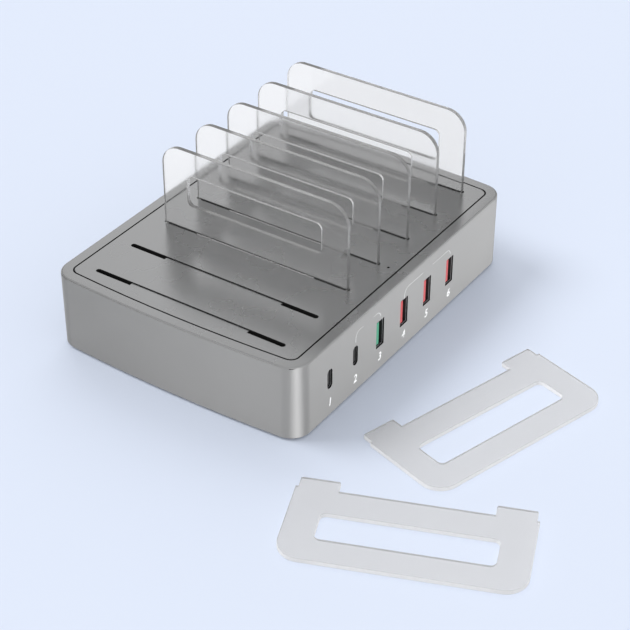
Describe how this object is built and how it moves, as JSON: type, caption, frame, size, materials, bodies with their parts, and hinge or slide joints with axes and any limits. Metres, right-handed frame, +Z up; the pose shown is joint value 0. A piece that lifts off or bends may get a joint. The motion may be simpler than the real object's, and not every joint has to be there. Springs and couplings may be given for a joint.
{
  "type": "charging station organizer",
  "caption": "Flat desk charging station: metal box with ports along one long side and rows of slots on top for lift-out clear dividers that hold devices upright.",
  "frame": {"origin": "middle of the station's non-slip ring, on the plane that it rests on", "axes": "+Z up; the ports face -Y, the mains inlet faces +Y, and the rows of slots follow each other along X"},
  "size_m": [0.2219, 0.2374, 0.0755],
  "materials": {
    "satin_metal": "satin, fine bead-blasted",
    "black_plastic": "matte",
    "black_rubber": "matte",
    "clear_sheet": "clear polished sheet with bright edges",
    "steel": "nickel plated",
    "white_plastic": "matte",
    "circuit_board": "solder mask",
    "gold_contacts": "gold plated",
    "red_plastic": "moulded",
    "green_plastic": "moulded",
    "dark_ferrite": "sintered",
    "yellow_tape": "wound tape",
    "copper_wire": "enamelled wire",
    "plain_aluminium": "extruded"
  },
  "bodies": {
    "station": {"housing": "satin_metal", "top_plate": "satin_metal", "slot_tray": "black_plastic", "base_cover": "black_plastic", "base_screws": "steel", "base_ring": "black_rubber", "light_pipe": "clear_sheet", "status_led": "white_plastic", "led_board": "circuit_board", "port_board": "circuit_board", "power_board": "circuit_board", "board_connector": "black_plastic", "board_screws": "steel", "usb_c_contacts": "gold_contacts", "usb_a_contacts": "gold_contacts", "inlet_body": "black_plastic", "inlet_pins": "steel", "transformer_core": "dark_ferrite", "transformer_bobbin": "black_plastic", "transformer_winding": "yellow_tape", "choke_core": "dark_ferrite", "choke_winding": "copper_wire", "bulk_capacitors": "black_plastic", "output_capacitors": "black_plastic", "line_capacitor": "yellow_tape", "line_fuse": "black_plastic", "bridge_rectifier": "black_plastic", "primary_heat_sink": "plain_aluminium", "secondary_heat_sink": "plain_aluminium", "power_transistors": "black_plastic", "controller_chips": "black_plastic", "port_inductors": "dark_ferrite", "usb_c_shell_1": "steel", "usb_c_tongue_1": "black_plastic", "usb_c_shell_2": "steel", "usb_c_tongue_2": "black_plastic", "usb_a_shell_1": "steel", "usb_a_tongue_1": "green_plastic", "usb_a_shell_2": "steel", "usb_a_tongue_2": "red_plastic", "usb_a_shell_3": "steel", "usb_a_tongue_3": "red_plastic", "usb_a_shell_4": "steel", "usb_a_tongue_4": "red_plastic"},
    "divider_1_body": {"divider_1": "clear_sheet"},
    "divider_2_body": {"divider_2": "clear_sheet"},
    "divider_3_body": {"divider_3": "clear_sheet"},
    "divider_4_body": {"divider_4": "clear_sheet"},
    "divider_5_body": {"divider_5": "clear_sheet"},
    "loose_divider_1_body": {"loose_divider_1": "clear_sheet"},
    "loose_divider_2_body": {"loose_divider_2": "clear_sheet"}
  },
  "joints": [
    {"name": "divider_1_lift", "type": "slide", "parent": "station", "child": "divider_1_body", "axis": [0, 0, 1], "range_m": [0, 0.04]},
    {"name": "divider_2_lift", "type": "slide", "parent": "station", "child": "divider_2_body", "axis": [0, 0, 1], "range_m": [0, 0.04]},
    {"name": "divider_3_lift", "type": "slide", "parent": "station", "child": "divider_3_body", "axis": [0, 0, 1], "range_m": [0, 0.04]},
    {"name": "divider_4_lift", "type": "slide", "parent": "station", "child": "divider_4_body", "axis": [0, 0, 1], "range_m": [0, 0.04]},
    {"name": "divider_5_lift", "type": "slide", "parent": "station", "child": "divider_5_body", "axis": [0, 0, 1], "range_m": [0, 0.04]},
    {"name": "loose_divider_1_lift", "type": "slide", "parent": "station", "child": "loose_divider_1_body", "axis": [0, 0, 1], "range_m": [0, 0.03]},
    {"name": "loose_divider_2_lift", "type": "slide", "parent": "station", "child": "loose_divider_2_body", "axis": [0, 0, 1], "range_m": [0, 0.03]}
  ]
}
